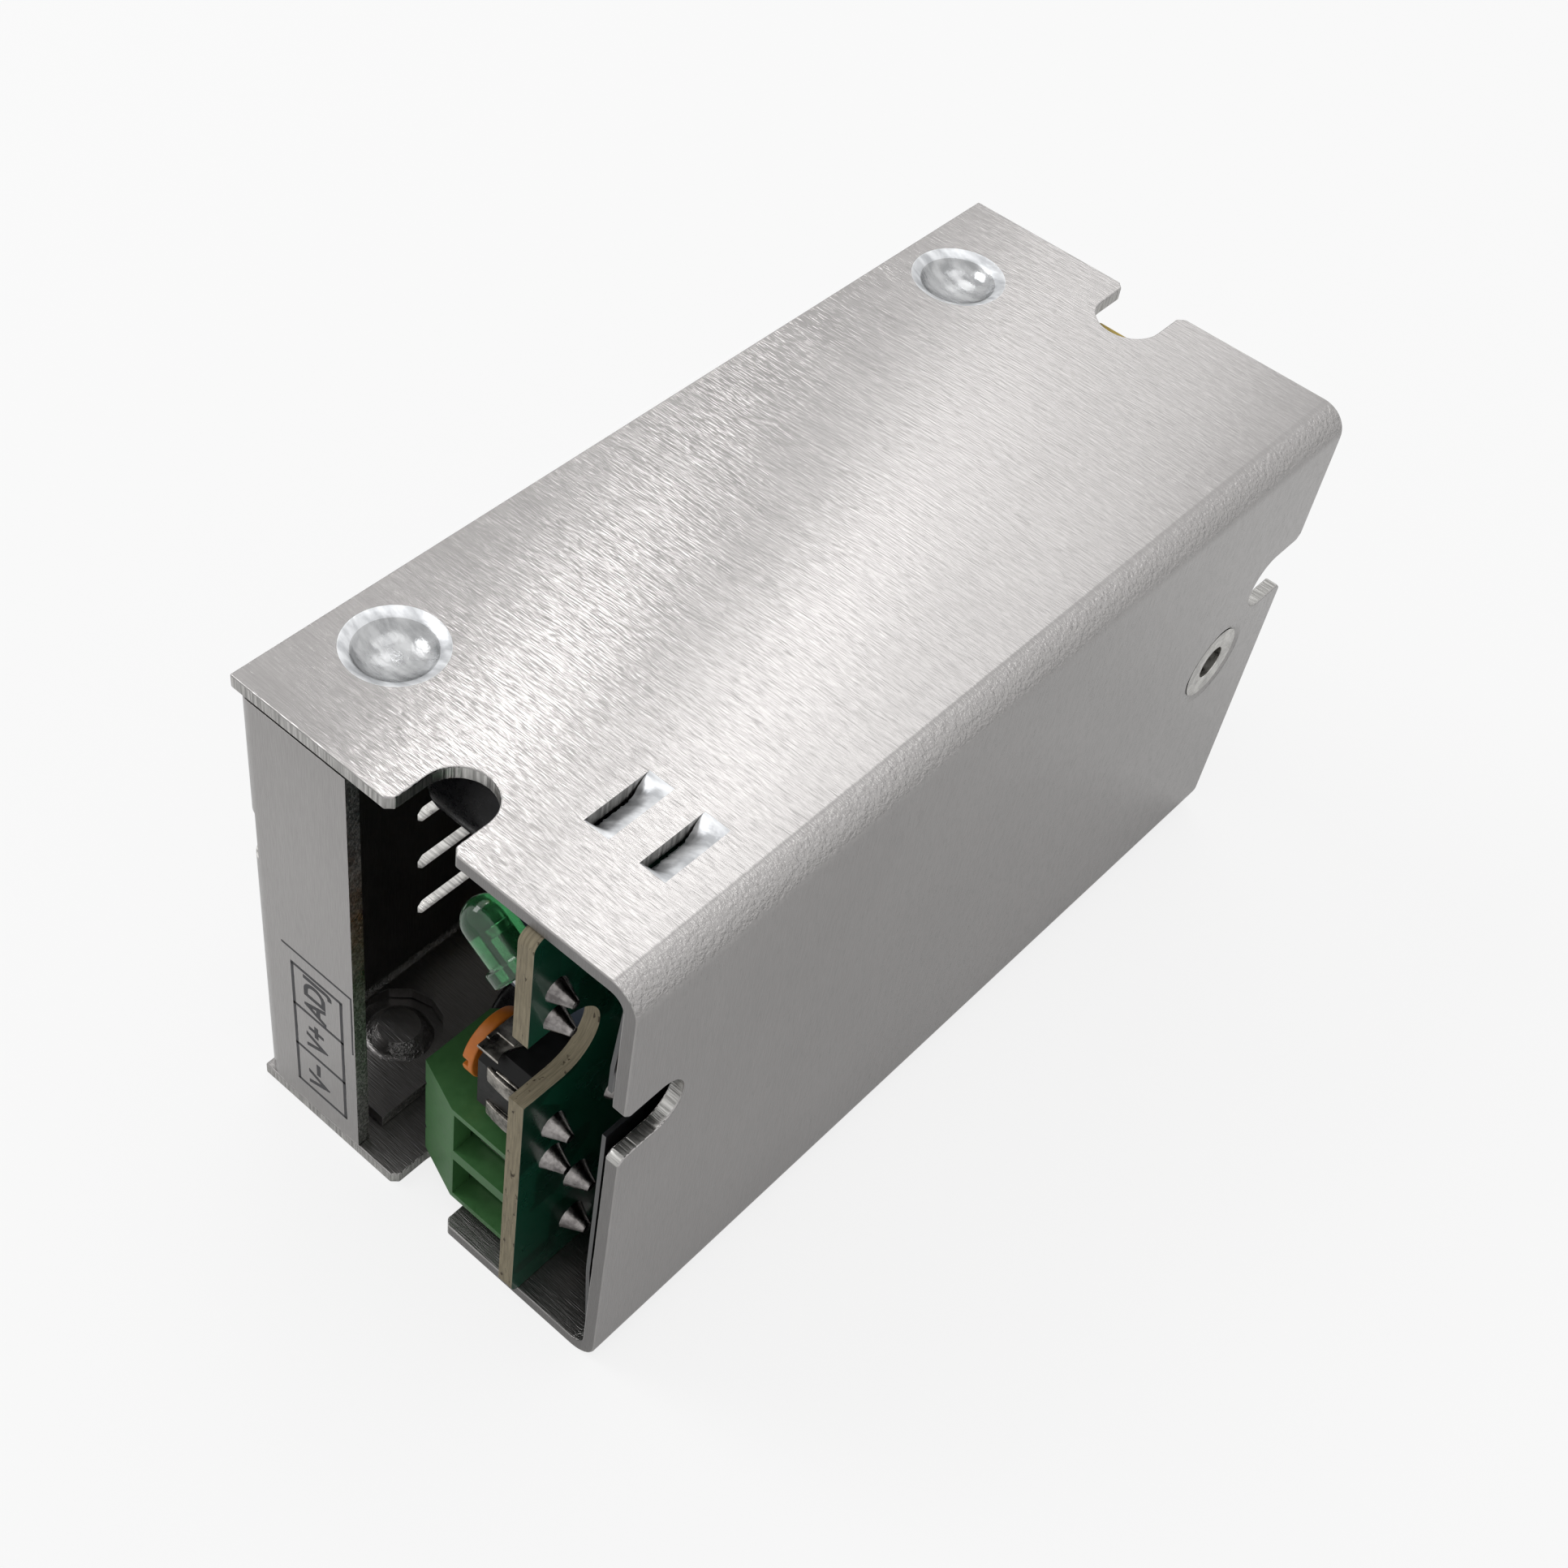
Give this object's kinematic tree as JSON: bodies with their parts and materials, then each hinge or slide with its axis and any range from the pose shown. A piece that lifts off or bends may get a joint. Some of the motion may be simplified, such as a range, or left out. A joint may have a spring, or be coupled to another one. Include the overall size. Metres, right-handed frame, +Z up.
{
  "type": "switching power supply",
  "caption": "small enclosed switching power supply: folded aluminium channel with clipped vented cover, circuit board, screw terminals, trimmer and lamp",
  "frame": {"origin": "centre of the case's footprint, on the surface that the lower side wall rests on", "axes": "+X from the output end to the input end, +Y from the base plate to the cover, +Z up"},
  "size_m": [0.07, 0.031, 0.039],
  "materials": {
    "case_metal": "mill-finish rolled sheet, fine grain, sheared edges",
    "cover_metal": "mill-finish rolled sheet, fine grain, sheared edges",
    "film": "clear insulating film",
    "pillar_metal": "bright plated, turned",
    "screw_metal": "bright plated",
    "board_green": "green solder mask on glass laminate",
    "solder": "bright solder",
    "terminal_green": "moulded, satin",
    "contact_metal": "tinned",
    "clamp_metal": "plated",
    "trimmer_black": "moulded",
    "trimmer_metal": "stamped, worn",
    "rotor_brown": "moulded",
    "lens_green": "clear tinted resin",
    "lead_metal": "tinned wire",
    "can_sleeve": "shrink sleeve on an aluminium can",
    "inductor_sleeve": "slate blue shrink sleeve",
    "inductor_core": "ferrite and enamelled wire",
    "resistor_coat": "lacquer",
    "rectifier_body": "moulded",
    "film_body": "dipped",
    "chip_black": "moulded",
    "ferrite": "ground ferrite",
    "bobbin_black": "moulded",
    "winding_tape": "polyester tape over copper",
    "disc_blue": "dipped",
    "thermistor_coat": "dipped",
    "copper_winding": "enamelled copper",
    "fuse_body": "ceramic tube",
    "line_body": "moulded box"
  },
  "bodies": {
    "case": {"base_case": "case_metal", "cover": "cover_metal", "insulating_film": "film", "board_pillar": "pillar_metal", "board_screw": "screw_metal", "circuit_board": "board_green", "solder_joints": "solder", "output_terminal_housing": "terminal_green", "input_terminal_housing": "terminal_green", "output_terminal_contacts": "contact_metal", "input_terminal_contacts": "contact_metal", "trimmer_body": "trimmer_black", "trimmer_contacts": "trimmer_metal", "indicator_lens": "lens_green", "indicator_leads": "lead_metal", "output_capacitor_1": "can_sleeve", "output_capacitor_2": "can_sleeve", "bias_capacitor": "can_sleeve", "bulk_capacitor": "can_sleeve", "inductor_sleeve": "inductor_sleeve", "inductor_core": "inductor_core", "load_resistor": "resistor_coat", "snubber_resistor": "resistor_coat", "output_rectifier": "rectifier_body", "film_capacitor": "film_body", "optocoupler": "chip_black", "controller_chip": "chip_black", "bridge_rectifier": "chip_black", "transformer_core_1": "ferrite", "transformer_core_2": "ferrite", "line_choke_ring": "ferrite", "transformer_bobbin": "bobbin_black", "transformer_winding": "winding_tape", "bridging_capacitor": "disc_blue", "thermistor": "thermistor_coat", "line_choke_windings": "copper_winding", "fuse": "fuse_body", "line_capacitor": "line_body"},
    "trimmer": {"trimmer_rotor": "rotor_brown"},
    "output_screw_1": {"output_clamp_screw_1": "screw_metal"},
    "output_clamp_1": {"output_wire_clamp_1": "clamp_metal"},
    "output_screw_2": {"output_clamp_screw_2": "screw_metal"},
    "output_clamp_2": {"output_wire_clamp_2": "clamp_metal"},
    "input_screw_1": {"input_clamp_screw_1": "screw_metal"},
    "input_clamp_1": {"input_wire_clamp_1": "clamp_metal"},
    "input_screw_2": {"input_clamp_screw_2": "screw_metal"},
    "input_clamp_2": {"input_wire_clamp_2": "clamp_metal"},
    "input_screw_3": {"input_clamp_screw_3": "screw_metal"},
    "input_clamp_3": {"input_wire_clamp_3": "clamp_metal"}
  },
  "joints": [
    {"name": "trimmer_turn", "type": "hinge", "parent": "case", "child": "trimmer", "pos_m": [-0.02975, -0.0019, 0.0165], "axis": [0, -1, 0], "range_deg": [-120, 120]},
    {"name": "output_screw_1_turn", "type": "hinge", "parent": "case", "child": "output_screw_1", "pos_m": [-0.0298, 0.0008, 0.00484], "axis": [0, -1, 0], "range_deg": [0, 1440]},
    {"name": "output_clamp_1_rise", "type": "slide", "parent": "case", "child": "output_clamp_1", "axis": [0, 1, 0], "range_m": [0, 0.0018]},
    {"name": "output_screw_2_turn", "type": "hinge", "parent": "case", "child": "output_screw_2", "pos_m": [-0.0298, 0.0008, 0.00992], "axis": [0, -1, 0], "range_deg": [0, 1440]},
    {"name": "output_clamp_2_rise", "type": "slide", "parent": "case", "child": "output_clamp_2", "axis": [0, 1, 0], "range_m": [0, 0.0018]},
    {"name": "input_screw_1_turn", "type": "hinge", "parent": "case", "child": "input_screw_1", "pos_m": [0.0298, 0.0008, 0.00484], "axis": [0, -1, 0], "range_deg": [0, 1440]},
    {"name": "input_clamp_1_rise", "type": "slide", "parent": "case", "child": "input_clamp_1", "axis": [0, 1, 0], "range_m": [0, 0.0018]},
    {"name": "input_screw_2_turn", "type": "hinge", "parent": "case", "child": "input_screw_2", "pos_m": [0.0298, 0.0008, 0.00992], "axis": [0, -1, 0], "range_deg": [0, 1440]},
    {"name": "input_clamp_2_rise", "type": "slide", "parent": "case", "child": "input_clamp_2", "axis": [0, 1, 0], "range_m": [0, 0.0018]},
    {"name": "input_screw_3_turn", "type": "hinge", "parent": "case", "child": "input_screw_3", "pos_m": [0.0298, 0.0008, 0.015], "axis": [0, -1, 0], "range_deg": [0, 1440]},
    {"name": "input_clamp_3_rise", "type": "slide", "parent": "case", "child": "input_clamp_3", "axis": [0, 1, 0], "range_m": [0, 0.0018]}
  ],
  "couplings": [
    {"joint": "output_screw_1_turn", "follows": "output_clamp_1_rise", "rad_per_m": 13963},
    {"joint": "output_screw_2_turn", "follows": "output_clamp_2_rise", "rad_per_m": 13963},
    {"joint": "input_screw_1_turn", "follows": "input_clamp_1_rise", "rad_per_m": 13963},
    {"joint": "input_screw_2_turn", "follows": "input_clamp_2_rise", "rad_per_m": 13963},
    {"joint": "input_screw_3_turn", "follows": "input_clamp_3_rise", "rad_per_m": 13963}
  ]
}
